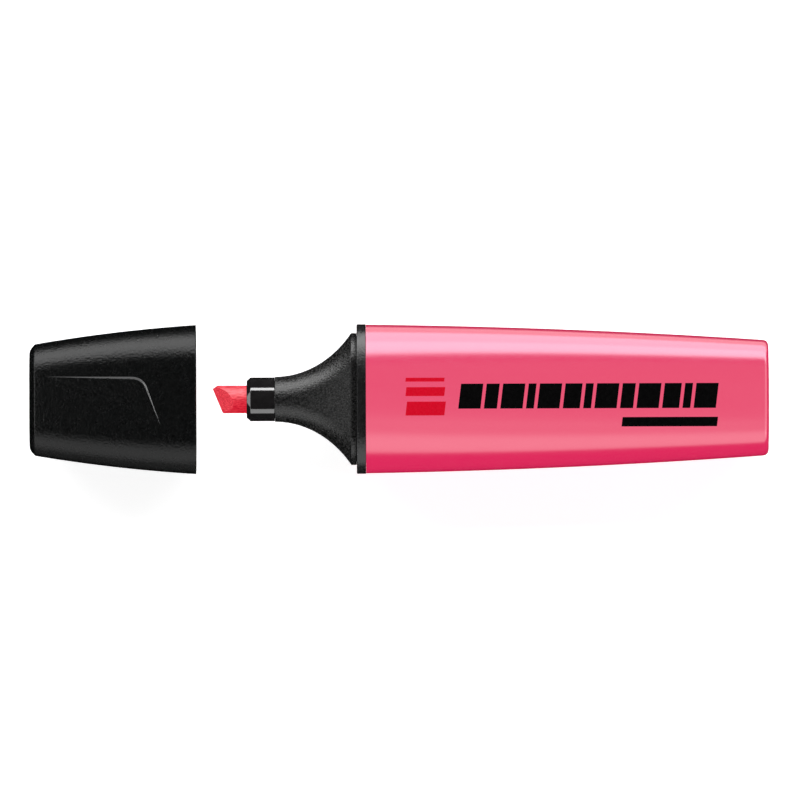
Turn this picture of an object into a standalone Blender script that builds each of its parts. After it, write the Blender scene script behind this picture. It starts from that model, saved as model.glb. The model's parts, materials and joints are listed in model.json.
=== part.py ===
"""A flat chisel-tip highlighter, lying on a wide face with its cap pulled off in line.

Metres. +X runs from the cap's closed end to the barrel's tail, +Y runs across the wide faces and +Z is up.
The pen lies on z = 0, and the origin is under the middle of the whole layout.
"""

import math

import bmesh
import bpy
from mathutils import Matrix, Vector

# The pen as a whole
AXIS_Z = 0.0086  # half of the 17.2 mm thickness, so the wide face rests on z = 0
SEAM = 0.0001  # gap at a seam that shows
FIT = 0.0002  # gap between pieces that are pressed together
CORNER_STEPS = 10  # sides in each quarter of every ring

# Barrel
BARREL_FRONT_X = -0.0060
BARREL_TAIL_X = 0.0667
BARREL_HALF_WIDTH = 0.01342
BARREL_TAPER = 0.00098  # the half width lost evenly from front to tail
BARREL_SWEEP = 0.00207  # the half width lost as the square of the distance
BARREL_LEVEL_PART = 0.62  # the share of the length that keeps the full thickness
BARREL_TAIL_THINNING = 0.00075
BARREL_SQUARENESS = 2.8  # the power of the superellipse that its outline is at the front
BARREL_SQUARING = 1.1  # and how much it grows by the tail
BARREL_WALL = 0.0015
TAIL_FILLET = 0.0009
TAIL_BULGE = 0.00015
TAIL_BULGE_RINGS = ((0.003, 0.75), (0.0055, 1.0))  # how far in from the side, and the share of the bulge
TAIL_WALL = 0.0016

# Ribs in the barrel that hold the reservoir
RIB_FRONT_X = 0.0080
RIB_BACK_X = 0.0600
RIB_THICKNESS = 0.0010
RIB_SPACING = 0.0040  # from the centre plane to the ribs on the wide sides

# Collar ring
COLLAR_FRONT_X = -0.00769
COLLAR_HALF_WIDTH = 0.0135
COLLAR_HOLE_HALF_WIDTH = 0.0116
COLLAR_HOLE_HALF_THICKNESS = 0.0068
COLLAR_HOLE_CORNER = 0.0062
COLLAR_EDGE = 0.0002

# Front section: a flared neck, a flange in front of the collar and a skirt that plugs the barrel
NECK_FRONT_X = -0.02247
NECK_RADIUS = 0.00406
FLARE_REACH = 0.01783  # half axis, along X, of the ellipse that the neck's outline follows
FLARE_RISE = 0.0217  # half axis, across, of the same ellipse
FLANGE_FRONT_X = -0.00868
FLANGE_HALF_WIDTH = 0.0119
FLANGE_HALF_THICKNESS = 0.00695
FLANGE_CORNER = 0.0056
SKIRT_HALF_WIDTH = 0.0114
SKIRT_HALF_THICKNESS = 0.0066
SKIRT_CORNER = 0.0060
SKIRT_BACK_X = 0.0030
SKIRT_WALL = 0.0012
NECK_BORE_RADIUS = 0.00345
NECK_BORE_BACK_X = -0.0140
NECK_FUNNEL = (0.0008, 0.0045, 0.0038, 0.0038)  # behind the bore: length, half width and thickness, corner

# Nib holder: the round spigot that the cap's seal closes on
SPIGOT_FRONT_X = -0.02754
SPIGOT_RADIUS = 0.00395
SPIGOT_CHAMFER_LENGTH = 0.0008
SPIGOT_CHAMFER_DEPTH = 0.0005
HOLDER_SLEEVE_RADIUS = 0.00325
HOLDER_BACK_X = -0.0040
HOLDER_BORE_RADIUS = 0.00262

# Nib
NIB_RADIUS = 0.0025
NIB_TIP = (-0.03363, 0.00185)  # x and y of the writing edge's forward end
NIB_HEEL = (-0.03180, -0.00260)  # x and y of its other end
NIB_EDGE_HALF_THICKNESS = 0.00035
NIB_FACET_SLOPE = 0.826  # rise of each wide facet for a step back from the edge
NIB_BLUNTING = 0.0002  # cut off the edge's forward corner
NIB_BACK_X = 0.0095

# Ink reservoir
RESERVOIR_FRONT_X = 0.0035
RESERVOIR_BACK_X = 0.0635
CORE_HALF_WIDTH = 0.0080
CORE_HALF_THICKNESS = 0.0053
CORE_CORNER = 0.0050
CORE_POCKET_RADIUS = 0.0028
CORE_POCKET_DEPTH = 0.0075
FILM_THICKNESS = 0.0003

# Cap
CAP_END_X = -0.0667
CAP_MOUTH_X = -0.0367
CAP_HALF_WIDTH = 0.01345
CAP_TAPER = 0.0019
CAP_SWEEP = 0.00165
CAP_HALF_THICKNESS = 0.0085
CAP_THINNING = 0.0009  # lost evenly, and again as the square
CAP_CORNER = 0.0067
CAP_CORNER_LOSS = 0.0013
CAP_WALL = 0.0013
CAP_END_FILLET = 0.0008

# Raised panels on the cap: highest at the bend, level with the cap at the two far corners
PANEL_FAR = (-0.0640, 0.0042)
PANEL_BEND = (-0.0466, 0.0036)
PANEL_LOW = (-0.0430, -0.0047)
PANEL_HEIGHT = 0.0003
PANEL_ROOT = 0.0006  # how deep the panel reaches into the cap's wall
PANEL_SINK = 0.00002  # keeps the level side just under the cap's surface, so the two never coincide
PANEL_ROWS = 6

# Seal in the cap
SEAL_BACK_X = -0.0652
SEAL_MOUTH_X = -0.0516
SEAL_RADIUS = 0.0050
SEAL_BORE_RADIUS = 0.00415
SEAL_LEAD_IN = (0.0004, 0.0002)  # length and depth of the bevel in the bore's mouth
SEAL_BASE = 0.0010
SEAL_BEAD_X = -0.0528
SEAL_BEAD_RADIUS = 0.00403
SEAL_BEAD_LENGTH = 0.0008


def clear_scene():
    for old in list(bpy.data.objects):
        bpy.data.objects.remove(old)


def material(name, colour, roughness):
    made = bpy.data.materials.new(name)
    made.use_nodes = True
    shader = made.node_tree.nodes["Principled BSDF"]
    shader.inputs["Base Color"].default_value = (*colour, 1.0)
    shader.inputs["Roughness"].default_value = roughness
    return made


def spread(start, end, count):
    """Evenly spaced numbers from start to end, both included."""
    return [start + (end - start) * i / (count - 1) for i in range(count)]


def oval(half_width, half_thickness, power):
    """(y, z) points round a superellipse. A power of 2 makes an ellipse, and a higher one is squarer.

    The three points in the middle of each wide side lie at its full height, which makes a true flat there.
    """
    points = []
    for i in range(4 * CORNER_STEPS):
        angle = math.pi / 2 * i / CORNER_STEPS
        y = half_width * abs(math.cos(angle)) ** (2 / power)
        z = half_thickness
        if abs(i % (2 * CORNER_STEPS) - CORNER_STEPS) > 1:
            z *= abs(math.sin(angle)) ** (2 / power)
        points.append((math.copysign(y, math.cos(angle)), math.copysign(z, math.sin(angle))))
    return points


def rounded(half_width, half_thickness, corner):
    """(y, z) points round a rounded rectangle, as many as in any oval, so that unlike sections join.

    Each corner is a polygon drawn round its arc, so the sides lie exactly on the given halves. A circle is
    the ring whose three sizes are equal.
    """
    corner = min(corner, half_width, half_thickness)
    step = math.pi / 2 / CORNER_STEPS
    reach = corner / math.cos(step / 2)
    points = []
    for quarter in range(4):
        side_y = 1 if quarter in (0, 3) else -1
        side_z = 1 if quarter in (0, 1) else -1
        for i in range(CORNER_STEPS):
            angle = quarter * math.pi / 2 + (i + 0.5) * step
            y = side_y * (half_width - corner) + reach * math.cos(angle)
            z = side_z * (half_thickness - corner) + reach * math.sin(angle)
            points.append((y, z))
    return points


def disc(x, radius):
    """A round section at x, for a loft."""
    return (x, rounded(radius, radius, radius))


def add_turned(name, profile, look, collection, origin_x=0.0):
    """A piece turned round the pen's axis from a closed outline of (x, radius) points. Where the outline
    starts and ends on the axis, the piece is solid there."""
    data = bpy.data.meshes.new(name)
    points = [(x - origin_x, radius, 0.0) for x, radius in profile]
    edges = [(i, i + 1) for i in range(len(points) - 1)]
    if profile[0][1] > 0:
        edges.append((len(points) - 1, 0))
    data.from_pydata(points, edges, [])
    data.materials.append(look)
    made = bpy.data.objects.new(name, data)
    made.location = (origin_x, 0.0, AXIS_Z)
    collection.objects.link(made)
    screw = made.modifiers.new("turn", "SCREW")
    screw.axis = "X"
    screw.steps = 4 * CORNER_STEPS
    screw.render_steps = 4 * CORNER_STEPS
    screw.use_merge_vertices = True
    screw.merge_threshold = 0.00001
    screw.use_smooth_shade = True
    screw.use_normal_flip = True
    return made


def loft_mesh(sections, is_tube):
    """A mesh through (x, points) sections in order. A tube joins its last section to its first, and a
    solid is closed by a flat face at each end."""
    mesh = bmesh.new()
    rings = []
    for x, points in sections:
        rings.append([mesh.verts.new((x, y, z + AXIS_Z)) for y, z in points])
    pairs = list(zip(rings, rings[1:]))
    if is_tube:
        pairs.append((rings[-1], rings[0]))
    else:
        mesh.faces.new(rings[0])
        mesh.faces.new(rings[-1])
    for near, far in pairs:
        for i in range(len(near)):
            j = (i + 1) % len(near)
            mesh.faces.new((near[i], near[j], far[j], far[i]))
    bmesh.ops.recalc_face_normals(mesh, faces=mesh.faces)
    return mesh


def add_object(name, mesh, look, collection, origin_x=0.0):
    """A named object on the pen's axis. The mesh comes in world coordinates."""
    origin = Vector((origin_x, 0.0, AXIS_Z))
    bmesh.ops.translate(mesh, verts=mesh.verts, vec=-origin)
    if mesh.calc_volume(signed=True) < 0:
        bmesh.ops.reverse_faces(mesh, faces=mesh.faces)
    for face in mesh.faces:
        face.smooth = True
    data = bpy.data.meshes.new(name)
    mesh.to_mesh(data)
    mesh.free()
    data.set_sharp_from_angle(angle=math.radians(25))
    if look:
        data.materials.append(look)
    made = bpy.data.objects.new(name, data)
    made.location = origin
    collection.objects.link(made)
    return made


def join_to(target, helper):
    """Joins a helper body to an object, as a moulded feature of it."""
    helper.hide_render = True
    helper.display_type = "WIRE"
    union = target.modifiers.new("with " + helper.name, "BOOLEAN")
    union.operation = "UNION"
    union.solver = "EXACT"
    union.object = helper


def end_fillet(section_at, end_x, inward, radius):
    """Sections that round the edge between a body's side and its end, from the side to the end."""
    made = []
    for i in range(4):
        angle = math.pi / 2 * i / 3
        x = end_x + inward * radius * (1 - math.sin(angle))
        made.append(section_at(x, radius * (1 - math.cos(angle))))
    return made


def barrel_sizes(x):
    share = (x - BARREL_FRONT_X) / (BARREL_TAIL_X - BARREL_FRONT_X)
    half_width = BARREL_HALF_WIDTH - BARREL_TAPER * share - BARREL_SWEEP * share**2
    beyond = max(0.0, share - BARREL_LEVEL_PART) / (1 - BARREL_LEVEL_PART)
    half_thickness = AXIS_Z - BARREL_TAIL_THINNING * beyond**2
    return half_width, half_thickness, BARREL_SQUARENESS + BARREL_SQUARING * share


def barrel_section(x, inset=0.0):
    half_width, half_thickness, power = barrel_sizes(x)
    return (x, oval(half_width - inset, half_thickness - inset, power))


def build_barrel(collection, helpers):
    fillet_end = BARREL_TAIL_X - TAIL_BULGE
    fillet = end_fillet(barrel_section, fillet_end, -1, TAIL_FILLET)
    outside = [barrel_section(x) for x in spread(BARREL_FRONT_X, fillet[0][0], 12)[:-1]]
    bulge = [
        barrel_section(fillet_end + TAIL_BULGE * share, inset) for inset, share in TAIL_BULGE_RINGS
    ]
    inner_back = BARREL_TAIL_X - TAIL_WALL
    inside = [barrel_section(x, BARREL_WALL) for x in spread(BARREL_FRONT_X, inner_back, 10)]
    sections = (outside + fillet + bulge)[::-1] + inside
    look = material("pink_plastic", (0.80, 0.08, 0.17), 0.3)
    barrel = add_object("barrel", loft_mesh(sections, is_tube=False), look, collection)
    for mesh, name in rib_meshes():
        join_to(barrel, add_object(name, mesh, None, helpers))


def rib_meshes():
    """Six straight ribs that reach from the barrel's wall to just clear of the reservoir."""
    film_half_width = CORE_HALF_WIDTH + SEAM + FILM_THICKNESS
    film_half_thickness = CORE_HALF_THICKNESS + SEAM + FILM_THICKNESS
    wall_half_width, wall_half_thickness, _ = barrel_sizes(RIB_BACK_X)
    narrow_reach = (film_half_width + FIT, wall_half_width - BARREL_WALL / 2)
    wide_reach = (film_half_thickness + FIT, wall_half_thickness - BARREL_WALL / 2)
    made = []
    for side in (1, -1):
        y_middle = side * sum(narrow_reach) / 2
        size = (narrow_reach[1] - narrow_reach[0], RIB_THICKNESS)
        made.append((box_mesh((y_middle, 0.0), size), f"side_rib_{side:+d}"))
        z_middle = side * sum(wide_reach) / 2
        size = (RIB_THICKNESS, wide_reach[1] - wide_reach[0])
        for y in (-RIB_SPACING, RIB_SPACING):
            made.append((box_mesh((y, z_middle), size), f"face_rib_{side:+d}_{y > 0:d}"))
    return made


def box_mesh(middle, size):
    """A long box over the ribs' length, from its (y, z) middle off the axis and its (y, z) size."""
    mesh = bmesh.new()
    bmesh.ops.create_cube(mesh, size=1.0)
    length = RIB_BACK_X - RIB_FRONT_X
    bmesh.ops.scale(mesh, verts=mesh.verts, vec=(length, size[0], size[1]))
    centre = ((RIB_FRONT_X + RIB_BACK_X) / 2, middle[0], AXIS_Z + middle[1])
    bmesh.ops.translate(mesh, verts=mesh.verts, vec=centre)
    return mesh


def build_collar_ring(collection):
    def outer(x, inset=0.0):
        return (x, oval(COLLAR_HALF_WIDTH - inset, AXIS_Z - inset, BARREL_SQUARENESS))

    back_x = BARREL_FRONT_X - SEAM
    hole = rounded(COLLAR_HOLE_HALF_WIDTH, COLLAR_HOLE_HALF_THICKNESS, COLLAR_HOLE_CORNER)
    sections = [
        (back_x, hole),
        (COLLAR_FRONT_X, hole),
        outer(COLLAR_FRONT_X, COLLAR_EDGE),
        outer(COLLAR_FRONT_X + COLLAR_EDGE),
        outer(back_x),
    ]
    look = material("black_collar_plastic", (0.02, 0.02, 0.022), 0.35)
    add_object("collar_ring", loft_mesh(sections, is_tube=True), look, collection)


def neck_section(x):
    """The flare grows from a round neck to the flange's rounded rectangle along an ellipse."""
    def rise(at_x):
        along = (at_x - NECK_FRONT_X) / FLARE_REACH
        return FLARE_RISE * (1 - math.sqrt(1 - along**2))

    share = rise(x) / rise(FLANGE_FRONT_X)
    flange = (FLANGE_HALF_WIDTH, FLANGE_HALF_THICKNESS, FLANGE_CORNER)
    return (x, rounded(*(NECK_RADIUS + (size - NECK_RADIUS) * share for size in flange)))


def build_front_section(collection):
    flange_back = COLLAR_FRONT_X - SEAM
    flange = (FLANGE_HALF_WIDTH, FLANGE_HALF_THICKNESS, FLANGE_CORNER)
    skirt = (SKIRT_HALF_WIDTH, SKIRT_HALF_THICKNESS, SKIRT_CORNER)
    hollow = tuple(size - SKIRT_WALL for size in skirt)
    sections = [neck_section(x) for x in spread(NECK_FRONT_X, FLANGE_FRONT_X, 14)]
    sections += [
        (flange_back, rounded(*flange)),
        (flange_back, rounded(*skirt)),
        (SKIRT_BACK_X, rounded(*skirt)),
        (SKIRT_BACK_X, rounded(*hollow)),
        (FLANGE_FRONT_X, rounded(*hollow)),
        (NECK_BORE_BACK_X + NECK_FUNNEL[0], rounded(*NECK_FUNNEL[1:])),
        disc(NECK_BORE_BACK_X, NECK_BORE_RADIUS),
        disc(NECK_FRONT_X, NECK_BORE_RADIUS),
    ]
    look = material("matte_black_plastic", (0.03, 0.03, 0.03), 0.6)
    add_object("front_section", loft_mesh(sections, is_tube=True), look, collection)


def build_nib_holder(collection):
    shoulder_x = NECK_FRONT_X - SEAM
    profile = [
        (SPIGOT_FRONT_X, HOLDER_BORE_RADIUS),
        (SPIGOT_FRONT_X, SPIGOT_RADIUS - SPIGOT_CHAMFER_DEPTH),
        (SPIGOT_FRONT_X + SPIGOT_CHAMFER_LENGTH, SPIGOT_RADIUS),
        (shoulder_x, SPIGOT_RADIUS),
        (shoulder_x, HOLDER_SLEEVE_RADIUS),
        (HOLDER_BACK_X, HOLDER_SLEEVE_RADIUS),
        (HOLDER_BACK_X, HOLDER_BORE_RADIUS),
    ]
    look = material("glossy_black_plastic", (0.015, 0.015, 0.015), 0.12)
    add_turned("nib_holder", profile, look, collection)


def trim(mesh, point, outward):
    """Cuts off what lies beyond a plane and closes the cut."""
    every = list(mesh.verts) + list(mesh.edges) + list(mesh.faces)
    cut = bmesh.ops.bisect_plane(
        mesh, geom=every, plane_co=point, plane_no=outward, clear_outer=True, dist=1e-7
    )
    rim = [part for part in cut["geom_cut"] if isinstance(part, bmesh.types.BMEdge)]
    bmesh.ops.contextual_create(mesh, geom=rim)


def build_nib(collection):
    mesh = bmesh.new()
    length = NIB_BACK_X - NIB_TIP[0]
    bmesh.ops.create_cone(
        mesh,
        cap_ends=True,
        segments=4 * CORNER_STEPS,
        radius1=NIB_RADIUS,
        radius2=NIB_RADIUS,
        depth=length,
    )
    bmesh.ops.rotate(mesh, verts=mesh.verts, matrix=Matrix.Rotation(math.pi / 2, 3, "Y"))
    middle = ((NIB_BACK_X + NIB_TIP[0]) / 2, 0.0, AXIS_Z)
    bmesh.ops.translate(mesh, verts=mesh.verts, vec=middle)
    tip = Vector((*NIB_TIP, AXIS_Z))
    heel = Vector((*NIB_HEEL, AXIS_Z))
    edge = (tip - heel).normalized()
    forward = Vector((-edge.y, edge.x, 0.0))
    if forward.x > 0:
        forward.negate()
    trim(mesh, tip, forward)
    for side in (1, -1):
        edge_point = tip + Vector((0.0, 0.0, side * NIB_EDGE_HALF_THICKNESS))
        facet = forward * NIB_FACET_SLOPE + Vector((0.0, 0.0, side))
        trim(mesh, edge_point, facet.normalized())
    blunt = (forward + edge).normalized()
    trim(mesh, tip - blunt * NIB_BLUNTING, blunt)
    bmesh.ops.recalc_face_normals(mesh, faces=mesh.faces)
    look = material("pink_fibre", (0.85, 0.07, 0.13), 0.8)
    add_object("chisel_nib", mesh, look, collection)


def build_reservoir(collection):
    core = (CORE_HALF_WIDTH, CORE_HALF_THICKNESS, CORE_CORNER)
    sections = [
        (RESERVOIR_BACK_X, rounded(*core)),
        (RESERVOIR_FRONT_X, rounded(*core)),
        disc(RESERVOIR_FRONT_X, CORE_POCKET_RADIUS),
        disc(RESERVOIR_FRONT_X + CORE_POCKET_DEPTH, CORE_POCKET_RADIUS),
    ]
    look = material("inked_fibre", (0.85, 0.20, 0.33), 0.9)
    add_object("ink_reservoir_core", loft_mesh(sections, is_tube=False), look, collection)

    inner = tuple(size + SEAM for size in core)
    outer = tuple(size + FILM_THICKNESS for size in inner)
    sections = [
        (RESERVOIR_FRONT_X, rounded(*inner)),
        (RESERVOIR_BACK_X, rounded(*inner)),
        (RESERVOIR_BACK_X, rounded(*outer)),
        (RESERVOIR_FRONT_X, rounded(*outer)),
    ]
    look = material("clear_film", (0.85, 0.80, 0.80), 0.2)
    add_object("ink_reservoir_film", loft_mesh(sections, is_tube=True), look, collection)


def cap_sizes(x):
    share = (CAP_MOUTH_X - x) / (CAP_MOUTH_X - CAP_END_X)
    half_width = CAP_HALF_WIDTH - CAP_TAPER * share - CAP_SWEEP * share**2
    half_thickness = CAP_HALF_THICKNESS - CAP_THINNING * (share + share**2)
    return half_width, half_thickness, CAP_CORNER - CAP_CORNER_LOSS * share


def cap_section(x, inset=0.0):
    return (x, rounded(*(size - inset for size in cap_sizes(x))))


def panel_mesh(side):
    """A triangle over one wide face of the cap, raised in proportion to how near a point is the bend."""
    far, bend, low = (Vector(corner) for corner in (PANEL_FAR, PANEL_BEND, PANEL_LOW))
    mesh = bmesh.new()
    rows = []
    for i in range(PANEL_ROWS + 1):
        near_bend = i / PANEL_ROWS
        row = []
        for j in range(PANEL_ROWS - i + 1):
            near_low = j / PANEL_ROWS
            x, y = far + (bend - far) * near_bend + (low - far) * near_low
            height = cap_sizes(x)[1] + PANEL_HEIGHT * near_bend - PANEL_SINK
            row.append(mesh.verts.new((x, side * y, AXIS_Z + side * height)))
        rows.append(row)
    for lower, upper in zip(rows, rows[1:]):
        for j in range(len(upper)):
            mesh.faces.new((lower[j], lower[j + 1], upper[j]))
            if j + 1 < len(upper):
                mesh.faces.new((lower[j + 1], upper[j + 1], upper[j]))
    grown = bmesh.ops.extrude_face_region(mesh, geom=list(mesh.faces))
    sunk = [part for part in grown["geom"] if isinstance(part, bmesh.types.BMVert)]
    bmesh.ops.translate(mesh, verts=sunk, vec=(0.0, 0.0, -side * (PANEL_HEIGHT + PANEL_ROOT)))
    bmesh.ops.recalc_face_normals(mesh, faces=mesh.faces)
    return mesh


def build_cap_shell(collection, helpers):
    fillet = end_fillet(cap_section, CAP_END_X, 1, CAP_END_FILLET)[::-1]
    outside = [cap_section(x) for x in spread(fillet[-1][0], CAP_MOUTH_X, 12)[1:]]
    inner_end = CAP_END_X + CAP_WALL
    inside = [cap_section(x, CAP_WALL) for x in spread(CAP_MOUTH_X, inner_end, 10)]
    look = material("black_cap_plastic", (0.012, 0.012, 0.013), 0.4)
    mesh = loft_mesh(fillet + outside + inside, is_tube=False)
    shell = add_object("cap_shell", mesh, look, collection, CAP_MOUTH_X)
    for side in (1, -1):
        join_to(shell, add_object(f"pull_panel_{side:+d}", panel_mesh(side), None, helpers))


def build_cap_seal(collection):
    profile = [
        (SEAL_BACK_X, 0.0),
        (SEAL_BACK_X, SEAL_RADIUS),
        (SEAL_MOUTH_X, SEAL_RADIUS),
        (SEAL_MOUTH_X, SEAL_BORE_RADIUS + SEAL_LEAD_IN[1]),
        (SEAL_MOUTH_X - SEAL_LEAD_IN[0], SEAL_BORE_RADIUS),
        (SEAL_BEAD_X + SEAL_BEAD_LENGTH / 2, SEAL_BORE_RADIUS),
        (SEAL_BEAD_X, SEAL_BEAD_RADIUS),
        (SEAL_BEAD_X - SEAL_BEAD_LENGTH / 2, SEAL_BORE_RADIUS),
        (SEAL_BACK_X + SEAL_BASE, SEAL_BORE_RADIUS),
        (SEAL_BACK_X + SEAL_BASE, 0.0),
    ]
    look = material("white_seal_plastic", (0.75, 0.74, 0.72), 0.4)
    add_turned("cap_inner_seal", profile, look, collection, CAP_MOUTH_X)


def main():
    clear_scene()
    parts = bpy.data.collections.new("highlighter")
    helpers = bpy.data.collections.new("moulded_features")
    helpers.hide_render = True
    for collection in (parts, helpers):
        bpy.context.scene.collection.children.link(collection)
    build_barrel(parts, helpers)
    build_collar_ring(parts)
    build_front_section(parts)
    build_nib_holder(parts)
    build_nib(parts)
    build_reservoir(parts)
    build_cap_shell(parts, helpers)
    build_cap_seal(parts)


main()
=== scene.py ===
"""The looks of the flat chisel-tip highlighter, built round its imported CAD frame. Metres, +Z up."""

import json
import math

import bmesh
import bpy
from mathutils import Matrix, Vector

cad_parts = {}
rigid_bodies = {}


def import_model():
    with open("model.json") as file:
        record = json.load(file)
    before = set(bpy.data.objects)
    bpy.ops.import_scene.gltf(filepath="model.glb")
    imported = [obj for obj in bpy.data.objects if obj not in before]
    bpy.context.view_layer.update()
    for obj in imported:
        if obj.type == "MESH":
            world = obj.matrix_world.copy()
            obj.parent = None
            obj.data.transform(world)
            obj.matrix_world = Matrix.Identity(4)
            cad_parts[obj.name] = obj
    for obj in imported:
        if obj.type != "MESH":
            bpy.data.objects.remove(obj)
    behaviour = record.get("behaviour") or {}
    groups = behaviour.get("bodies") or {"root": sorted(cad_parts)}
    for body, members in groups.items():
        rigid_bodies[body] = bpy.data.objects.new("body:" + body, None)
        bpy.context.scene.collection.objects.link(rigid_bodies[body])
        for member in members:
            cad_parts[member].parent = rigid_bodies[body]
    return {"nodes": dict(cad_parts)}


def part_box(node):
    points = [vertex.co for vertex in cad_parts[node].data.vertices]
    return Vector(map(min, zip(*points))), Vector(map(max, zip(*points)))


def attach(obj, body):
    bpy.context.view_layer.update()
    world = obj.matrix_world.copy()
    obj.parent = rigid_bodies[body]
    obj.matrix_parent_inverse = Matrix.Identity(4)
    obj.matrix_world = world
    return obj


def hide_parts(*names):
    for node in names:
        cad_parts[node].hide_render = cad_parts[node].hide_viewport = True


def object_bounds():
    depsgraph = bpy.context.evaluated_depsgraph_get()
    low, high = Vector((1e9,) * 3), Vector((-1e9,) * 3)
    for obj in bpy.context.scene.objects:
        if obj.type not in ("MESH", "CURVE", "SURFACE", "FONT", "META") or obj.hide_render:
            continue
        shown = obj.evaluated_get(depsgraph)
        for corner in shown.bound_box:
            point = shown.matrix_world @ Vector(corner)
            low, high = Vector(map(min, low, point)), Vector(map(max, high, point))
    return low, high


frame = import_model()
CAD_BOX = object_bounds()
BOX = {node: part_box(node) for node in frame["nodes"]}

AXIS_Z = (BOX["collar_ring"][0].z + BOX["collar_ring"][1].z) / 2
RING_POINTS = 176
LONGEST_STEP = 0.0013  # between the rings of a piece, along it or across its ends
CORNER_RINGS = 7
SHARP_ANGLE = math.radians(38)
SEAM = 0.00003
SHARP_EDGE = 0.00007

# Barrel: shares of its length count from its front
BARREL_HALF_WIDTH = 0.01342
BARREL_TAPER = 0.00098
BARREL_SWEEP = 0.00207
BARREL_LEVEL_PART = 0.62
BARREL_TAIL_THINNING = 0.00075
BARREL_SQUARENESS = 2.8  # the power of the superellipse that its outline is at the front
BARREL_SQUARING = 1.1  # and how much it grows by the tail
BARREL_WALL = 0.0015
BARREL_TAIL_WALL = 0.0016
TOP_CLEARANCE = 0.00005  # keeps the print on the barrel inside the CAD's height
TAIL_FILLET = 0.0010
TAIL_BULGE = 0.00015
TAIL_FACE = (0.0066, 0.0040)  # insets of the rings on the end face, from its flat middle out
TAIL_INSIDE_FACE = 0.0060
COLLAR_HOLE = (0.0116, 0.0068, 0.0062)  # half width, half thickness, corner
COLLAR_BAND = 0.0012  # how far in from the outline its front and back faces start
COLLAR_EDGE = 0.0002

# Cap: shares of its length count from its mouth
CAP_HALF_WIDTH = 0.01345
CAP_TAPER = 0.0019
CAP_SWEEP = 0.00165
CAP_HALF_THICKNESS = 0.0085
CAP_THINNING = 0.0009
CAP_CORNER = 0.0067
CAP_CORNER_LOSS = 0.0013
CAP_WALL = 0.0013
CAP_END_CHAMFER = 0.00095
CAP_END_ROUND = 0.0006  # where the chamfer meets the end face
CAP_END_EDGE = 0.00018  # where it meets the sides: the fine line that catches the light
CAP_END_FACE = 0.0058
CAP_INSIDE_FACE = 0.0050
LEAST_CORNER = 0.0003

# The panels on the cap, raised along two edges: highest at the bend, level with the cap at the far and
# low corners
PANEL_FAR = Vector((-0.0640, 0.0042))
PANEL_BEND = Vector((-0.0464, 0.0037))
PANEL_LOW = Vector((-0.0430, -0.0047))
PANEL_BEND_RADIUS = 0.0018
PANEL_HEIGHT = 0.00029
PANEL_ROOT = 0.00006  # how far the panel reaches into the cap
PANEL_RAMP = math.radians(34)  # the slope of the ledge along the two raised edges
PANEL_EDGE = 0.00006
PANEL_STEPS = (40, 12, 24)  # along the far edge, round the bend and along the low edge
PANEL_TOP_STEPS = 9
WELD = 0.0000005  # joins the panel's points that fall together where its height is nothing

# Neck, with the flange and skirt as (half width, half thickness, corner)
NECK_FRONT_X = -0.02247
NECK_RADIUS = 0.00406
FLARE_REACH = 0.01783
FLARE_RISE = 0.0217
FLARE_RINGS = 44
FLANGE_FRONT_X = -0.00868
FLANGE = (0.0119, 0.00695, 0.0056)
FLANGE_EDGE = 0.00015
FLANGE_STEP = 0.00012
SKIRT = (0.0114, 0.0066, 0.0060)
SKIRT_WALL = 0.0012
NECK_BORE_RADIUS = 0.00345
NECK_BORE_BACK_X = -0.0140

SPIGOT_CHAMFER = (0.00070, 0.00062)  # length and depth
SPIGOT_MOUTH = (0.0012, 0.00005)  # length and depth of the taper inside its front
NIB_GAP = 0.0001
SPIGOT_SHOULDER = 0.0007
SLEEVE_RADIUS = 0.00325

NIB_TIP = (-0.03368, 0.00190)
NIB_HEEL = (-0.03180, -0.00260)
NIB_EDGE_HALF_THICKNESS = 0.00035
NIB_FACET_SLOPE = 0.826
NIB_SHOULDER = (-0.56, 0.83)  # the way the small cut beside the tip faces
NIB_WORN_EDGE = 0.00012
NIB_WORN_ANGLE = math.radians(25)  # edges sharper than this are worn
NIB_SPARE = 0.001  # length in front of the tip, cut away again

SEAL_BORE = 0.00415
SEAL_BEAD = 0.00012
SEAL_BASE = 0.0010

# Print on the barrel: thickness over the surface, and depth into it so that each patch is a closed solid
INK_THICKNESS = 0.00002
INK_ROOT = 0.00004
INK_GRID = (7, 9)  # points along and across each patch
PRINT_SLANT = 0.12
BARS_X = (0.0106, 0.0570)
BARS_Y = (-0.0018, 0.0027)
BAR_GAP = 0.0006
BAR_WIDTHS = [3.4, 2.0, 3.4, 1.2, 3.4, 2.6, 1.2, 3.4, 2.0, 3.4, 2.6, 1.2, 3.4]  # in proportion
SHORT_BAR_X = (0.0400, 0.0572)
SHORT_BAR_Y = (-0.0051, -0.0034)
STROKES_X = (0.0011, 0.0081)
STROKES_Y = ((-0.0030, -0.0005), (0.0005, 0.0021), (0.0031, 0.0038))

PHOTO_WIDTH = 0.1444  # what the camera's frame spans at the pen's height
CAMERA_HEIGHT = 3.5
CAMERA_SENSOR = 36.0
CAMERA_TURN = -0.0033
CAMERA_SHIFT = Vector((0.00013, -0.0002))  # from over the middle of the pen
FLOOR_HALF_SIZE = 4.0
FLOOR_GAP = 0.00002
WORLD_LIGHT = 0.025
WORLD_SEEN = 0.95
LIGHT_DISTANCE = 0.7
COOL = (0.84, 0.97, 1.13)  # the colour of the barrel's key light

# Higher than a real plastic's, so that the panels can be dim enough not to burn out at low angles
GLOSSY_IOR = 2.0
PLASTIC_IOR = 1.5


# --- shapes ---------------------------------------------------------------------------------------


def spread(start, end, count):
    return [start + (end - start) * i / (count - 1) for i in range(count)]


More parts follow.
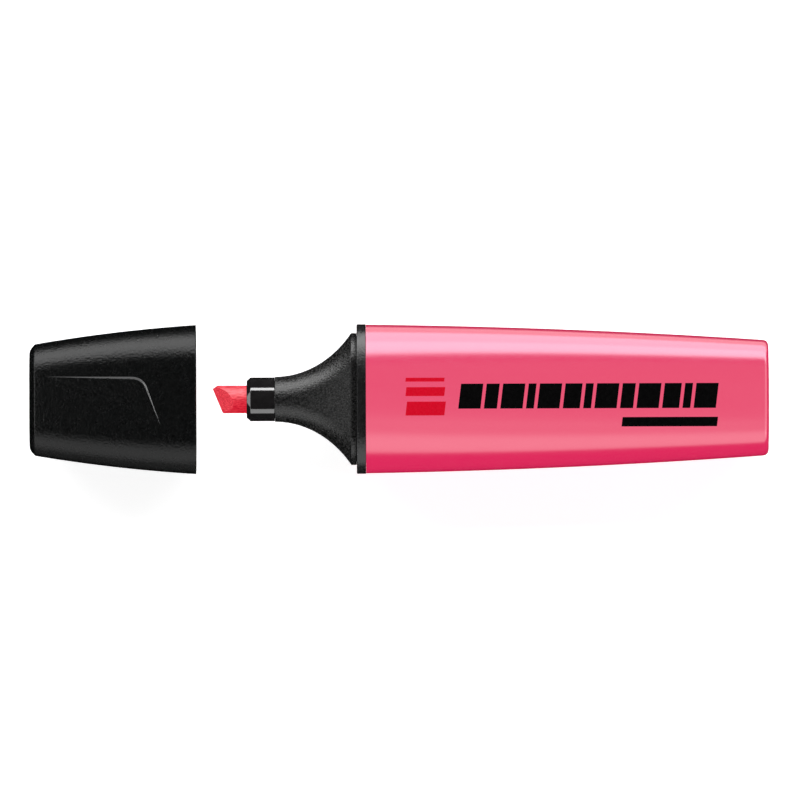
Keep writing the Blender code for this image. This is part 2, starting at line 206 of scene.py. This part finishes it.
def even_aims():
    """Unit (y, z) directions at even angles, the same for every ring."""
    angles = [2 * math.pi * (i + 0.5) / RING_POINTS for i in range(RING_POINTS)]
    return [Vector((math.cos(angle), math.sin(angle))) for angle in angles]


def oval(half_width, half_thickness, power):
    """(y, z) points round a superellipse: a power of 2 is an ellipse, and more is squarer."""
    made = []
    for aim in even_aims():
        reach = abs(aim.x / half_width) ** power + abs(aim.y / half_thickness) ** power
        made.append(aim * reach ** (-1 / power))
    return made


def rounded(half_width, half_thickness, corner):
    """(y, z) points round a rectangle with rounded corners."""
    centre = Vector((half_width - corner, half_thickness - corner))
    made = []
    for aim in even_aims():
        ahead = Vector((abs(aim.x), abs(aim.y)))
        reach = min(half_width / ahead.x, half_thickness / ahead.y)
        if ahead.x * reach > centre.x and ahead.y * reach > centre.y:
            along = ahead.dot(centre)
            reach = along + math.sqrt(along**2 - centre.length_squared + corner**2)
        made.append(aim * reach)
    return made


def rounded_path(points):
    """(x, inset, radius) corners turned into (x, inset) points, with each corner rounded and no step
    longer than LONGEST_STEP."""
    bends = [Vector(points[0][:2])]
    for before, corner, after in zip(points, points[1:], points[2:]):
        bend = Vector(corner[:2])
        start = bend + (Vector(before[:2]) - bend).normalized() * corner[2]
        end = bend + (Vector(after[:2]) - bend).normalized() * corner[2]
        for t in spread(0.0, 1.0, CORNER_RINGS):
            bends.append(start * (1 - t) ** 2 + bend * 2 * t * (1 - t) + end * t**2)
    bends.append(Vector(points[-1][:2]))
    made = [bends[0]]
    for near, far in zip(bends, bends[1:]):
        pieces = max(1, math.ceil((far - near).length / LONGEST_STEP))
        made += [near.lerp(far, i / pieces) for i in range(1, pieces + 1)]
    return [(point.x, point.y) for point in made]


def skin(rings, is_tube=False):
    """A closed mesh over rings of points: its ends are filled, or joined to each other in a tube."""
    mesh = bmesh.new()
    loops = [[mesh.verts.new(point) for point in ring] for ring in rings]
    pairs = list(zip(loops, loops[1:]))
    if is_tube:
        pairs.append((loops[-1], loops[0]))
    else:
        mesh.faces.new(loops[0])
        mesh.faces.new(loops[-1])
    for near, far in pairs:
        for i in range(len(near)):
            j = (i + 1) % len(near)
            mesh.faces.new((near[i], near[j], far[j], far[i]))
    bmesh.ops.recalc_face_normals(mesh, faces=mesh.faces)
    return mesh


def loft(name, sections, material, body, nodes, is_tube=False):
    """A smooth piece through (x, outline points) sections."""
    rings = [[(x, y, z + AXIS_Z) for y, z in outline] for x, outline in sections]
    return place(name, skin(rings, is_tube), material, body, nodes)


def place(name, mesh, material, body, nodes=()):
    """Turns a bmesh into a shaded piece that rides on a body and stands for its CAD nodes."""
    data = bpy.data.meshes.new(name)
    mesh.to_mesh(data)
    mesh.free()
    data.shade_smooth()
    data.set_sharp_from_angle(angle=SHARP_ANGLE)
    data.materials.append(material)
    piece = bpy.data.objects.new(name, data)
    bpy.context.scene.collection.objects.link(piece)
    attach(piece, body)
    if nodes:
        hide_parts(*nodes)
    return piece


def disc(x, radius):
    return (x, oval(radius, radius, 2.0))


def barrel_sizes(x):
    low, high = BOX["barrel"]
    share = (x - low.x) / (high.x - low.x)
    half_width = BARREL_HALF_WIDTH - BARREL_TAPER * share - BARREL_SWEEP * share**2
    beyond = max(0.0, share - BARREL_LEVEL_PART) / (1 - BARREL_LEVEL_PART)
    half_thickness = AXIS_Z - TOP_CLEARANCE - BARREL_TAIL_THINNING * beyond**2
    return half_width, half_thickness, BARREL_SQUARENESS + BARREL_SQUARING * share


def barrel_section(x, inset=0.0):
    half_width, half_thickness, power = barrel_sizes(x)
    return (x, oval(half_width - inset, half_thickness - inset, power))


def barrel_top(x, y):
    """The height of the barrel's upper face."""
    half_width, half_thickness, power = barrel_sizes(x)
    return AXIS_Z + half_thickness * (1 - abs(y / half_width) ** power) ** (1 / power)


def cap_sizes(x):
    low, high = BOX["cap_shell"]
    share = (high.x - x) / (high.x - low.x)
    half_width = CAP_HALF_WIDTH - CAP_TAPER * share - CAP_SWEEP * share**2
    half_thickness = CAP_HALF_THICKNESS - CAP_THINNING * (share + share**2)
    return half_width, half_thickness, CAP_CORNER - CAP_CORNER_LOSS * share


def cap_section(x, inset=0.0):
    half_width, half_thickness, corner = cap_sizes(x)
    least = min(half_thickness - inset, LEAST_CORNER)
    return (x, rounded(half_width - inset, half_thickness - inset, max(corner - inset, least)))


def build_barrel():
    low, high = BOX["barrel"]
    tail_inside = high.x - BARREL_TAIL_WALL
    path = rounded_path([
        (high.x, TAIL_FACE[0], 0.0),
        (high.x - TAIL_BULGE * 0.2, TAIL_FACE[1], 0.0005),
        (high.x - TAIL_BULGE, 0.0, TAIL_FILLET),
        (low.x, 0.0, SHARP_EDGE),
        (low.x, BARREL_WALL, SHARP_EDGE),
        (tail_inside, BARREL_WALL, TAIL_FILLET),
        (tail_inside, TAIL_INSIDE_FACE, 0.0),
    ])
    sections = [barrel_section(x, inset) for x, inset in path]
    loft("barrel_skin", sections, barrel_plastic(), "pen", ["barrel"])


def build_collar():
    low, high = BOX["collar_ring"]
    back = BOX["barrel"][0].x - SEAM
    path = rounded_path([
        (low.x, COLLAR_BAND, 0.0),
        (low.x, 0.0, COLLAR_EDGE),
        (back, 0.0, SHARP_EDGE),
        (back, COLLAR_BAND, 0.0),
    ])
    sections = [(low.x, rounded(*COLLAR_HOLE))]
    sections += [(x, oval(high.y - inset, AXIS_Z - inset, BARREL_SQUARENESS)) for x, inset in path]
    sections.append((back, rounded(*COLLAR_HOLE)))
    loft("collar_skin", sections, collar_plastic(), "pen", ["collar_ring"], True)


def neck_section(x):
    """The flare between the spigot's round shoulder and the flange: a circle's arc in side view."""
    def rise(at_x):
        return FLARE_RISE * (1 - math.sqrt(1 - ((at_x - NECK_FRONT_X) / FLARE_REACH) ** 2))

    share = rise(x) / rise(FLANGE_FRONT_X)
    return (x, rounded(*(NECK_RADIUS + (size - NECK_RADIUS) * share for size in FLANGE)))


def build_neck():
    skirt_back = BOX["front_section"][1].x
    flange_back = BOX["collar_ring"][0].x - SEAM

    def ring(x, sizes, inset=0.0):
        return (x, rounded(*(size - inset for size in sizes)))

    flare = [neck_section(x) for x in spread(NECK_FRONT_X + SHARP_EDGE, FLANGE_FRONT_X, FLARE_RINGS)]
    sections = [disc(NECK_FRONT_X, NECK_RADIUS - SHARP_EDGE), *flare]
    sections += [
        ring(FLANGE_FRONT_X + FLANGE_STEP, FLANGE),
        ring(flange_back - FLANGE_EDGE, FLANGE),
        ring(flange_back - FLANGE_EDGE * 0.3, FLANGE, FLANGE_EDGE * 0.3),
        ring(flange_back, FLANGE, FLANGE_EDGE),
        ring(flange_back, SKIRT),
        ring(skirt_back, SKIRT),
        ring(skirt_back, SKIRT, SKIRT_WALL),
        ring(FLANGE_FRONT_X, SKIRT, SKIRT_WALL),
        disc(NECK_BORE_BACK_X, NECK_BORE_RADIUS),
        disc(NECK_FRONT_X, NECK_BORE_RADIUS),
    ]
    loft("neck_skin", sections, neck_plastic(), "pen", ["front_section"], True)


def build_spigot():
    low, high = BOX["nib_holder"]
    radius = high.y
    bore = BOX["chisel_nib"][1].y + NIB_GAP
    front = low.x
    shoulder = NECK_FRONT_X - SEAM
    chamfer_length, chamfer_depth = SPIGOT_CHAMFER
    mouth_length, mouth_depth = SPIGOT_MOUTH
    profile = rounded_path([
        (front + mouth_length, bore, 0.0),
        (front, bore + mouth_depth, 0.00015),
        (front, radius - chamfer_depth, 0.00005),
        (front + chamfer_length, radius, 0.00006),
        (shoulder, radius, SHARP_EDGE),
        (shoulder, radius - SPIGOT_SHOULDER, 0.0001),
        (high.x, SLEEVE_RADIUS, SHARP_EDGE),
        (high.x, bore, 0.0),
    ])
    sections = [disc(x, size) for x, size in profile]
    loft("spigot_skin", sections, spigot_plastic(), "pen", ["nib_holder"], True)


def trim(mesh, point, outward):
    """Cuts off what lies beyond a plane and closes the cut."""
    every = list(mesh.verts) + list(mesh.edges) + list(mesh.faces)
    cut = bmesh.ops.bisect_plane(
        mesh, geom=every, plane_co=point, plane_no=outward, clear_outer=True, dist=1e-7
    )
    rim = [part for part in cut["geom_cut"] if isinstance(part, bmesh.types.BMEdge)]
    bmesh.ops.contextual_create(mesh, geom=rim)


def build_nib():
    low, high = BOX["chisel_nib"]
    radius = high.y
    mesh = bmesh.new()
    length = high.x - low.x + NIB_SPARE
    bmesh.ops.create_cone(
        mesh, cap_ends=True, segments=RING_POINTS // 2, radius1=radius, radius2=radius, depth=length
    )
    bmesh.ops.rotate(mesh, verts=mesh.verts, matrix=Matrix.Rotation(math.pi / 2, 3, "Y"))
    bmesh.ops.translate(mesh, verts=mesh.verts, vec=(high.x - length / 2, 0.0, AXIS_Z))
    tip = Vector((*NIB_TIP, AXIS_Z))
    heel = Vector((*NIB_HEEL, AXIS_Z))
    edge = (tip - heel).normalized()
    forward = Vector((-abs(edge.y), edge.x, 0.0))
    trim(mesh, tip, forward)
    for side in (1, -1):
        edge_point = tip + Vector((0.0, 0.0, side * NIB_EDGE_HALF_THICKNESS))
        trim(mesh, edge_point, (forward * NIB_FACET_SLOPE + Vector((0, 0, side))).normalized())
    trim(mesh, tip, Vector((*NIB_SHOULDER, 0.0)).normalized())
    piece = place("nib_fibre_tip", mesh, nib_fibre(), "pen", ["chisel_nib"])
    bevel = piece.modifiers.new("worn edges", "BEVEL")
    bevel.width = NIB_WORN_EDGE
    bevel.segments = 3
    bevel.limit_method = "ANGLE"
    bevel.angle_limit = NIB_WORN_ANGLE


def build_cap():
    low, high = BOX["cap_shell"]
    inner_end = low.x + CAP_WALL
    path = rounded_path([
        (low.x, CAP_END_FACE, 0.0),
        (low.x, CAP_END_CHAMFER, CAP_END_ROUND),
        (low.x + CAP_END_CHAMFER, 0.0, CAP_END_EDGE),
        (high.x, 0.0, SHARP_EDGE),
        (high.x, CAP_WALL, SHARP_EDGE),
        (inner_end, CAP_WALL, CAP_END_CHAMFER),
        (inner_end, CAP_INSIDE_FACE, 0.0),
    ])
    sections = [cap_section(x, inset) for x, inset in path]
    look = cap_plastic()
    loft("cap_skin", sections, look, "cap", ["cap_shell"])
    place("pull_panel_top", panel_mesh(1), look, "cap")
    place("pull_panel_under", panel_mesh(-1), look, "cap")


def panel_rim():
    """Points along the panel's two raised edges, from the far corner round the bend to the low one,
    each with its outward direction."""
    into = (PANEL_FAR - PANEL_BEND).normalized() * PANEL_BEND_RADIUS + PANEL_BEND
    out = (PANEL_LOW - PANEL_BEND).normalized() * PANEL_BEND_RADIUS + PANEL_BEND
    far_steps, bend_steps, low_steps = PANEL_STEPS
    points = [PANEL_FAR.lerp(into, t) for t in spread(0.0, 1.0, far_steps)[:-1]]
    for t in spread(0.0, 1.0, bend_steps):
        points.append(into * (1 - t) ** 2 + PANEL_BEND * 2 * t * (1 - t) + out * t**2)
    points += [out.lerp(PANEL_LOW, t) for t in spread(0.0, 1.0, low_steps)[1:]]
    made = []
    for i, point in enumerate(points):
        along = points[min(i + 1, len(points) - 1)] - points[max(i - 1, 0)]
        made.append((point, Vector((-along.y, along.x)).normalized()))
    return made


def panel_mesh(side):
    """One raised panel: a ramp up to its two raised edges, and a top that falls to the cap's own surface
    along the line between the far and low corners. A side of 1 is the upper panel, and -1 the lower."""
    base = PANEL_LOW - PANEL_FAR
    across = Vector((-base.y, base.x)).normalized()
    bend_reach = (PANEL_BEND - PANEL_FAR).dot(across)

    def lift(point):
        return PANEL_HEIGHT * max(0.0, (point - PANEL_FAR).dot(across)) / bend_reach

    def surface(point):
        return cap_sizes(point.x)[1]

    rings = []
    for point, outward in panel_rim():
        height = lift(point)
        run = height / math.tan(PANEL_RAMP)
        round_off = min(PANEL_EDGE, height / 3)
        # (outward shift, height over the cap), from under its surface up the ramp to the panel's top
        profile = (
            (run + PANEL_ROOT / math.tan(PANEL_RAMP), -PANEL_ROOT),
            (run, 0.0),
            (run * 0.5, height * 0.5),
            (round_off, height - round_off * math.tan(PANEL_RAMP)),
            (0.0, height - round_off * 0.25),
            (-round_off, height),
        )
        ring = []
        for shift, rise in profile:
            at = point + outward * shift
            ring.append((at.x, side * at.y, AXIS_Z + side * (surface(at) + rise)))
        foot = PANEL_FAR + base * ((point - PANEL_FAR).dot(base) / base.length_squared)
        inner = point + outward * profile[-1][0]
        for t in spread(0.0, 1.0, PANEL_TOP_STEPS)[1:]:
            at = inner.lerp(foot, t)
            z = surface(at) + lift(at) - PANEL_ROOT * t**4
            ring.append((at.x, side * at.y, AXIS_Z + side * z))
        rings.append(ring)
    mesh = skin(rings)
    bmesh.ops.remove_doubles(mesh, verts=mesh.verts, dist=WELD)
    return mesh


def build_seal():
    low, high = BOX["cap_inner_seal"]
    radius = high.y
    profile = rounded_path([
        (low.x, 0.0002, 0.0),
        (low.x, radius, 0.0003),
        (high.x, radius, 0.0002),
        (high.x, SEAL_BORE + 0.0002, 0.0001),
        (high.x - 0.0004, SEAL_BORE, 0.0001),
        (high.x - 0.0008, SEAL_BORE, 0.0001),
        (high.x - 0.0012, SEAL_BORE - SEAL_BEAD, 0.0001),
        (high.x - 0.0016, SEAL_BORE, 0.0001),
        (low.x + SEAL_BASE, SEAL_BORE, 0.0004),
        (low.x + SEAL_BASE, 0.0002, 0.0),
    ])
    sections = [disc(x, size) for x, size in profile]
    loft("seal_skin", sections, seal_plastic(), "cap", ["cap_inner_seal"])


# --- print ----------------------------------------------------------------------------------------


def printed_block(name, x_range, y_range, material):
    """A thin patch of ink on the barrel's upper face, with leaning ends."""
    rings = []
    for x in spread(*x_range, INK_GRID[0]):
        ring = []
        for y in spread(*y_range, INK_GRID[1]):
            at = x + PRINT_SLANT * (y - y_range[0])
            top = barrel_top(at, y)
            ring.append((at, y, top + INK_THICKNESS))
            ring.insert(0, (at, y, top - INK_ROOT))
        rings.append(ring)
    place(name, skin(rings), material, "pen")


def build_print():
    """Plain generic graphics: a row of leaning bars, a short bar and a small stroke-width mark."""
    black = ink("black_ink", (0.0026, 0.0024, 0.0026))
    # The red ink glows a little: painted light, not a lamp's.
    red = ink("red_ink", (0.92, 0.0050, 0.027), 0.13)
    x, right = BARS_X
    unit = (right - x - BAR_GAP * (len(BAR_WIDTHS) - 1)) / sum(BAR_WIDTHS)
    for i, width in enumerate(BAR_WIDTHS):
        end = x + width * unit
        printed_block(f"print_bar_{i}", (x, end), BARS_Y, black)
        x = end + BAR_GAP
    printed_block("print_short_bar", SHORT_BAR_X, SHORT_BAR_Y, black)
    for i, stroke_y in enumerate(STROKES_Y):
        printed_block(f"print_stroke_{i}", STROKES_X, stroke_y, red)


# --- materials ------------------------------------------------------------------------------------


class Look:
    """A Principled material with short calls for the procedural detail that it needs."""

    def __init__(self, name, roughness, ior=GLOSSY_IOR):
        self.material = bpy.data.materials.new(name)
        self.material.use_nodes = True
        self.nodes = self.material.node_tree.nodes
        self.links = self.material.node_tree.links
        self.shader = self.nodes["Principled BSDF"]
        self.fix("Roughness", roughness)
        self.fix("IOR", ior)
        self.coords = self.nodes.new("ShaderNodeTexCoord").outputs["Object"]
        self.last_bump = None

    def noise(self, scale, detail=3.0, stretch=(1.0, 1.0, 1.0)):
        mapping = self.nodes.new("ShaderNodeMapping")
        mapping.inputs["Scale"].default_value = stretch
        self.links.new(self.coords, mapping.inputs["Vector"])
        texture = self.nodes.new("ShaderNodeTexNoise")
        texture.inputs["Scale"].default_value = scale
        texture.inputs["Detail"].default_value = detail
        self.links.new(mapping.outputs["Vector"], texture.inputs["Vector"])
        return texture.outputs["Fac"]

    def pits(self, scale):
        texture = self.nodes.new("ShaderNodeTexVoronoi")
        texture.inputs["Scale"].default_value = scale
        self.links.new(self.coords, texture.inputs["Vector"])
        return texture.outputs["Distance"]

    def between(self, factor, low, high, start=0.3, end=0.7):
        """A number or a colour that goes from low to high as the factor goes from start to end."""
        ramp = self.nodes.new("ShaderNodeMapRange")
        ramp.inputs["From Min"].default_value = start
        ramp.inputs["From Max"].default_value = end
        self.links.new(factor, ramp.inputs["Value"])
        if isinstance(low, tuple):
            mix = self.nodes.new("ShaderNodeMix")
            mix.data_type = "RGBA"
            ends = [socket for socket in mix.inputs if socket.type == "RGBA"]
            for socket, colour in zip(ends, (low, high)):
                socket.default_value = (*colour, 1.0)
            self.links.new(ramp.outputs["Result"], mix.inputs["Factor"])
            return next(socket for socket in mix.outputs if socket.type == "RGBA")
        ramp.inputs["To Min"].default_value = low
        ramp.inputs["To Max"].default_value = high
        return ramp.outputs["Result"]

    def fix(self, socket, value):
        """Sets a number or a colour that is the same all over."""
        self.shader.inputs[socket].default_value = value

    def glow(self, colour, strength):
        self.fix("Emission Color", (*colour, 1.0))
        self.fix("Emission Strength", strength)

    def vary(self, socket, output):
        self.links.new(output, self.shader.inputs[socket])

    def bump(self, height, distance, strength=1.0):
        node = self.nodes.new("ShaderNodeBump")
        node.inputs["Strength"].default_value = strength
        node.inputs["Distance"].default_value = distance
        self.links.new(height, node.inputs["Height"])
        if self.last_bump:
            self.links.new(self.last_bump, node.inputs["Normal"])
        self.last_bump = node.outputs["Normal"]
        self.vary("Normal", self.last_bump)


def barrel_plastic():
    """Fluorescent pink, semi-gloss. Its emission is painted light: it keeps the pink as bright in shade as
    in the lamps' light.
    """
    look = Look("pink_barrel_plastic", 0.2)
    cloud = look.noise(260, 4.0)
    look.vary("Base Color", look.between(cloud, (0.074, 0.018, 0.022), (0.082, 0.020, 0.024)))
    look.fix("Coat Weight", 0.9)
    look.fix("Coat Roughness", 0.21)
    look.fix("Coat IOR", GLOSSY_IOR)
    smudge = look.noise(420, 5.0, (1.0, 1.6, 1.0))
    look.vary("Roughness", look.between(smudge, 0.22, 0.27))
    # Painted light: an even glow that stands in for lamp light on the barrel's shaded sides.
    look.glow((1.0, 0.018, 0.135), 0.78)
    look.bump(look.noise(900, 2.0), 0.000012, 0.25)
    look.bump(look.noise(7000, 2.0), 0.000002, 0.2)
    return look.material


def collar_plastic():
    look = Look("black_collar_plastic", 0.27)
    cloud = look.noise(500)
    look.vary("Base Color", look.between(cloud, (0.0125, 0.0122, 0.0128), (0.0222, 0.0214, 0.0222)))
    look.vary("Roughness", look.between(look.noise(1500, 4.0), 0.18, 0.26))
    look.bump(look.noise(3000, 3.0), 0.000080, 1.0)
    return look.material


def cap_plastic():
    """Satin black with a fine moulded grain and faint handling marks."""
    look = Look("black_cap_plastic", 0.26)
    grain = look.noise(2800, 4.0)
    dark, light = (0.0004, 0.0006, 0.0006), (0.0048, 0.0055, 0.0055)
    look.vary("Base Color", look.between(grain, dark, light, 0.38, 0.62))
    look.vary("Roughness", look.between(look.noise(900, 6.0), 0.24, 0.28))
    look.fix("Specular IOR Level", 0.25)
    look.bump(grain, 0.000095, 1.0)
    look.bump(look.noise(6500, 3.0), 0.000006, 0.4)
    return look.material


def neck_plastic():
    """Matte black with a spark-eroded texture, whose peaks are paler."""
    look = Look("matte_neck_plastic", 0.36)
    grain = look.noise(2900, 4.0)
    dark, light = (0.0005, 0.0005, 0.0005), (0.0420, 0.0410, 0.0410)
    look.vary("Base Color", look.between(grain, dark, light, 0.42, 0.60))
    look.vary("Roughness", look.between(look.noise(2600, 3.0), 0.24, 0.32))
    look.fix("Specular IOR Level", 0.42)
    look.bump(grain, 0.000100, 1.0)
    look.bump(look.pits(2600), 0.000020, 0.5)
    return look.material


def spigot_plastic():
    look = Look("polished_spigot_plastic", 0.07, PLASTIC_IOR)
    cloud = look.noise(800)
    look.vary("Base Color", look.between(cloud, (0.0050, 0.0046, 0.0048), (0.0082, 0.0076, 0.0079)))
    look.vary("Roughness", look.between(look.noise(900, 4.0), 0.05, 0.11))
    look.bump(look.noise(1400, 2.0, (0.2, 1.0, 1.0)), 0.000004, 0.2)
    return look.material


def nib_fibre():
    """Bonded felt fibre: long streaks along the rod, with ink darker between the bundles."""
    look = Look("inked_nib_fibre", 0.45, PLASTIC_IOR)
    streaks = look.noise(5200, 4.0, (0.22, 1.0, 1.0))
    dark, light = (0.03, 0.002, 0.004), (0.30, 0.050, 0.060)
    look.vary("Base Color", look.between(streaks, dark, light, 0.40, 0.64))
    # Painted light: a glow that lifts the nib where the lamps leave it in shade, chiefly the facet facing
    # away from them.
    look.glow((1.0, 0.01, 0.04), 0.60)
    look.bump(streaks, 0.00010, 0.8)
    look.bump(look.noise(9000, 3.0), 0.00003, 0.5)
    return look.material


def seal_plastic():
    look = Look("white_seal_plastic", 0.4)
    look.vary("Base Color", look.between(look.noise(500, 4.0), (0.62, 0.60, 0.57), (0.72, 0.70, 0.67)))
    look.vary("Roughness", look.between(look.noise(1800), 0.35, 0.48))
    look.bump(look.noise(3000), 0.00001, 0.3)
    return look.material


def reservoir_fibre():
    look = Look("reservoir_fibre", 0.95, 1.3)
    strands = look.noise(3200, 5.0, (0.08, 1.0, 1.0))
    look.vary("Base Color", look.between(strands, (0.50, 0.05, 0.12), (0.80, 0.22, 0.34)))
    look.bump(strands, 0.00012, 0.7)
    return look.material


def reservoir_film():
    look = Look("reservoir_film", 0.15)
    look.vary("Base Color", look.between(look.noise(900), (0.66, 0.52, 0.55), (0.76, 0.64, 0.66)))
    look.bump(look.noise(600, 3.0, (0.3, 1.0, 1.0)), 0.00008, 0.4)
    return look.material


def ink(name, colour, glow=0.0):
    """Screen-printed ink: a little thicker and glossier in places."""
    look = Look(name, 0.3)
    look.fix("Specular IOR Level", 0.12)
    lighter = tuple(min(1.0, part * 1.3 + 0.0006) for part in colour)
    look.vary("Base Color", look.between(look.noise(2600, 4.0), colour, lighter))
    look.vary("Roughness", look.between(look.noise(1500), 0.22, 0.32))
    # An optional glow, which is painted light.
    look.glow(colour, glow)
    look.bump(look.noise(5000), 0.000006, 0.3)
    return look.material


def dress_inner_nodes():
    """The CAD nodes that stay, with better materials."""
    looks = {"ink_reservoir_core": reservoir_fibre(), "ink_reservoir_film": reservoir_film()}
    for node, look in looks.items():
        for slot in frame["nodes"][node].material_slots:
            slot.material = look


# --- stage ----------------------------------------------------------------------------------------


def build_floor():
    mesh = bmesh.new()
    bmesh.ops.create_grid(mesh, x_segments=1, y_segments=1, size=FLOOR_HALF_SIZE)
    data = bpy.data.meshes.new("floor")
    mesh.to_mesh(data)
    mesh.free()
    look = Look("pale_floor", 0.9)
    look.vary("Base Color", look.between(look.noise(30), (0.78, 0.78, 0.78), (0.82, 0.82, 0.82)))
    look.glow((1.0, 1.0, 1.0), 0.62)
    look.fix("Specular IOR Level", 0.0)
    data.materials.append(look.material)
    floor = bpy.data.objects.new("floor", data)
    bpy.context.scene.collection.objects.link(floor)
    floor.location.z = CAD_BOX[0].z - FLOOR_GAP
    floor.visible_glossy = False  # the pen's dark sides stay dark, as between black cards in a studio


def build_world():
    """Pale to the camera, dim as a source of light."""
    world = bpy.data.worlds.new("studio")
    world.use_nodes = True
    nodes, links = world.node_tree.nodes, world.node_tree.links
    background = nodes["Background"]
    ray = nodes.new("ShaderNodeLightPath")
    strength = nodes.new("ShaderNodeMapRange")
    strength.inputs["To Min"].default_value = WORLD_LIGHT
    strength.inputs["To Max"].default_value = WORLD_SEEN
    links.new(ray.outputs["Is Camera Ray"], strength.inputs["Value"])
    links.new(strength.outputs["Result"], background.inputs["Strength"])
    bpy.context.scene.world = world


def softbox(name, towards, tilt, spans, length, radiance, lit=None, blocking=None, colour=(1, 1, 1)):
    """A rectangular light that faces the pen. Its bearing in degrees counts from +X towards +Y, its tilt
    from straight up, and it spans an angle as the pen sees it. It may light only some pieces, or be
    blocked by only some."""
    light = bpy.data.lights.new(name, "AREA")
    light.shape = "RECTANGLE"
    light.color = colour
    light.size = length
    light.size_y = 2 * LIGHT_DISTANCE * math.tan(math.radians(spans / 2))
    light.energy = radiance * math.pi * light.size * light.size_y
    made = bpy.data.objects.new(name, light)
    bpy.context.scene.collection.objects.link(made)
    bearing, lean = math.radians(towards), math.radians(tilt)
    out = Vector((
        math.cos(bearing) * math.sin(lean), math.sin(bearing) * math.sin(lean), math.cos(lean)
    ))
    across = Vector((-math.sin(bearing), math.cos(bearing), 0.0))
    made.location = out * LIGHT_DISTANCE + Vector((0.0, 0.0, AXIS_Z))
    made.rotation_mode = "QUATERNION"
    made.rotation_quaternion = Matrix((across, out.cross(across), out)).transposed().to_quaternion()
    made.visible_camera = False
    made.light_linking.receiver_collection = lit
    made.light_linking.blocker_collection = blocking


def gather(name, test):
    """A collection of the meshes whose names pass the test, for lights to be linked to."""
    collection = bpy.data.collections.new(name)
    for piece in bpy.data.objects:
        if piece.type == "MESH" and test(piece.name):
            collection.objects.link(piece)
    return collection


def build_lights():
    """Two long panels over the pen's sides light the black pieces and the print. The others have panels of
    their own, where the real ones had reflectors: the floor, the nib, the polished spigot's narrow strips
    and card, and the barrel's panel on each side with the bright floor beyond it. Small cards pick out the
    cap's edges and the ends of the pen."""
    spigot = gather("spigot_only", lambda name: name == "spigot_skin")
    barrel = gather("barrel_only", lambda name: name == "barrel_skin")
    nib = gather("nib_only", lambda name: name == "nib_fibre_tip")
    floor = gather("floor_only", lambda name: name == "floor")
    cap = gather("cap_only", lambda name: name.startswith(("cap", "pull")))
    pen = gather("pen_only", lambda name: not name.startswith(("cap", "pull", "floor")))
    own_panels = ("spigot_skin", "barrel_skin", "nib_fibre_tip", "floor")
    others = gather("others", lambda name: name not in own_panels)
    softbox("key_panel", 90, 65, 54, 2.2, 2.0, others)
    softbox("fill_panel", 270, 62, 58, 2.2, 0.61, others)
    softbox("floor_key", 90, 65, 54, 2.2, 5.6, floor)
    softbox("floor_fill", 270, 62, 58, 2.2, 1.7, floor)
    softbox("nib_key", 90, 65, 54, 2.2, 5.6, nib)
    softbox("key_strip", 90, 56, 14, 2.2, 18.0, spigot)
    softbox("fill_strip", 270, 66, 26, 2.2, 4.8, spigot)
    softbox("chamfer_card", 180, 76, 24, 0.95, 4.5, spigot, spigot)
    softbox("barrel_key", 90, 68, 68, 2.2, 2.0, barrel, barrel, COOL)
    softbox("barrel_key_core", 90, 48, 28, 2.2, 0.55, barrel, colour=COOL)
    softbox("barrel_overhead", 90, 6, 32, 2.2, 0.28, barrel)
    softbox("barrel_fill", 270, 30, 48, 2.2, 0.43, barrel)
    softbox("barrel_fill_core", 270, 36, 32, 2.2, 0.49, barrel)
    softbox("floor_glow", 90, 120, 38, 2.2, 0.80, barrel, barrel)
    softbox("cap_floor_glow", 270, 113, 44, 2.2, 0.1, cap, cap)
    softbox("ledge_card", 22, 68, 26, 0.5, 4.3, cap)
    softbox("cap_end_card", 180, 50, 24, 0.5, 1.3, cap)
    softbox("nib_card", 150, 70, 44, 0.9, 5.0, nib, nib)
    softbox("tail_card", 0, 60, 34, 0.7, 0.7)
    softbox("cap_card", 180, 48, 50, 0.7, 0.22, pen)


def build_camera():
    data = bpy.data.cameras.new("camera")
    data.sensor_width = CAMERA_SENSOR
    data.lens = CAMERA_SENSOR * (CAMERA_HEIGHT - AXIS_Z) / PHOTO_WIDTH
    data.clip_end = 20.0
    camera = bpy.data.objects.new("camera", data)
    bpy.context.scene.collection.objects.link(camera)
    centre = (CAD_BOX[0] + CAD_BOX[1]) / 2
    camera.location = (centre.x + CAMERA_SHIFT.x, centre.y + CAMERA_SHIFT.y, CAMERA_HEIGHT)
    camera.rotation_euler = (0.0, 0.0, CAMERA_TURN)
    bpy.context.scene.camera = camera


def main():
    build_barrel()
    build_collar()
    build_neck()
    build_spigot()
    build_nib()
    build_cap()
    build_seal()
    build_print()
    dress_inner_nodes()
    build_floor()
    build_world()
    build_lights()
    build_camera()
    bpy.context.scene.view_settings.view_transform = "Standard"


main()
